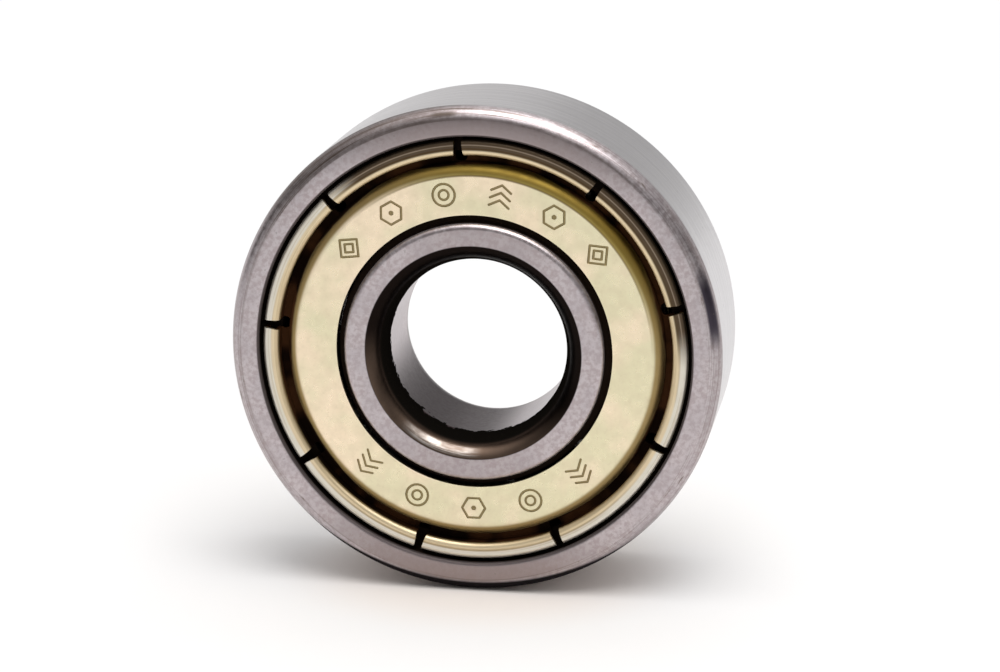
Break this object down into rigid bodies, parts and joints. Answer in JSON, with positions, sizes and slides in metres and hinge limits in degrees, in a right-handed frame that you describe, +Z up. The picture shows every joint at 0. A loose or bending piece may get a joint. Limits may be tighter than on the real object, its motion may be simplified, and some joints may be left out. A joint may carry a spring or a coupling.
{
  "type": "ball bearing",
  "caption": "Small shielded deep-groove ball bearing: outer ring, inner ring, caged balls and a crimped yellow-plated shield on each side.",
  "frame": {"origin": "centre of the bearing, on its axis at the mid-plane between its two faces", "axes": "+Y along the bearing axis towards the rear face, so the front face looks towards -Y; +Z up with the bearing standing on its rim; +X to the right seen from the front"},
  "size_m": [0.022, 0.007, 0.022],
  "materials": {
    "ground_steel": "ground and tumbled bearing steel, satin",
    "ball_steel": "polished bearing steel",
    "cage_steel": "pressed low-carbon strip, dull",
    "rivet_steel": "formed steel wire",
    "yellow_plate": "steel sheet with pale yellow chromate plating, satin"
  },
  "bodies": {
    "outer": {"outer_ring": "ground_steel", "front_shield": "yellow_plate", "rear_shield": "yellow_plate"},
    "inner": {"inner_ring": "ground_steel"},
    "cage": {"cage_front": "cage_steel", "cage_rear": "cage_steel", "rivet_1": "rivet_steel", "rivet_2": "rivet_steel", "rivet_3": "rivet_steel", "rivet_4": "rivet_steel", "rivet_5": "rivet_steel", "rivet_6": "rivet_steel", "rivet_7": "rivet_steel"},
    "ball_1": {"ball_1": "ball_steel"},
    "ball_2": {"ball_2": "ball_steel"},
    "ball_3": {"ball_3": "ball_steel"},
    "ball_4": {"ball_4": "ball_steel"},
    "ball_5": {"ball_5": "ball_steel"},
    "ball_6": {"ball_6": "ball_steel"},
    "ball_7": {"ball_7": "ball_steel"}
  },
  "joints": [
    {"name": "inner_spin", "type": "hinge", "parent": "outer", "child": "inner", "pos_m": [0, 0, 0], "axis": [0, 1, 0], "continuous": true},
    {"name": "cage_spin", "type": "hinge", "parent": "outer", "child": "cage", "pos_m": [0, 0, 0], "axis": [0, 1, 0], "continuous": true},
    {"name": "ball_1_spin", "type": "hinge", "parent": "cage", "child": "ball_1", "pos_m": [0, 0, 0.0075], "axis": [0, 1, 0], "continuous": true},
    {"name": "ball_2_spin", "type": "hinge", "parent": "cage", "child": "ball_2", "pos_m": [-0.00586, 0, 0.00468], "axis": [0, 1, 0], "continuous": true},
    {"name": "ball_3_spin", "type": "hinge", "parent": "cage", "child": "ball_3", "pos_m": [-0.00731, 0, -0.00167], "axis": [0, 1, 0], "continuous": true},
    {"name": "ball_4_spin", "type": "hinge", "parent": "cage", "child": "ball_4", "pos_m": [-0.00325, 0, -0.00676], "axis": [0, 1, 0], "continuous": true},
    {"name": "ball_5_spin", "type": "hinge", "parent": "cage", "child": "ball_5", "pos_m": [0.00325, 0, -0.00676], "axis": [0, 1, 0], "continuous": true},
    {"name": "ball_6_spin", "type": "hinge", "parent": "cage", "child": "ball_6", "pos_m": [0.00731, 0, -0.00167], "axis": [0, 1, 0], "continuous": true},
    {"name": "ball_7_spin", "type": "hinge", "parent": "cage", "child": "ball_7", "pos_m": [0.00586, 0, 0.00468], "axis": [0, 1, 0], "continuous": true}
  ],
  "couplings": [
    {"joint": "cage_spin", "follows": "inner_spin", "ratio": 0.3677},
    {"joint": "ball_1_spin", "follows": "inner_spin", "ratio": -1.7573},
    {"joint": "ball_2_spin", "follows": "inner_spin", "ratio": -1.7573},
    {"joint": "ball_3_spin", "follows": "inner_spin", "ratio": -1.7573},
    {"joint": "ball_4_spin", "follows": "inner_spin", "ratio": -1.7573},
    {"joint": "ball_5_spin", "follows": "inner_spin", "ratio": -1.7573},
    {"joint": "ball_6_spin", "follows": "inner_spin", "ratio": -1.7573},
    {"joint": "ball_7_spin", "follows": "inner_spin", "ratio": -1.7573}
  ]
}
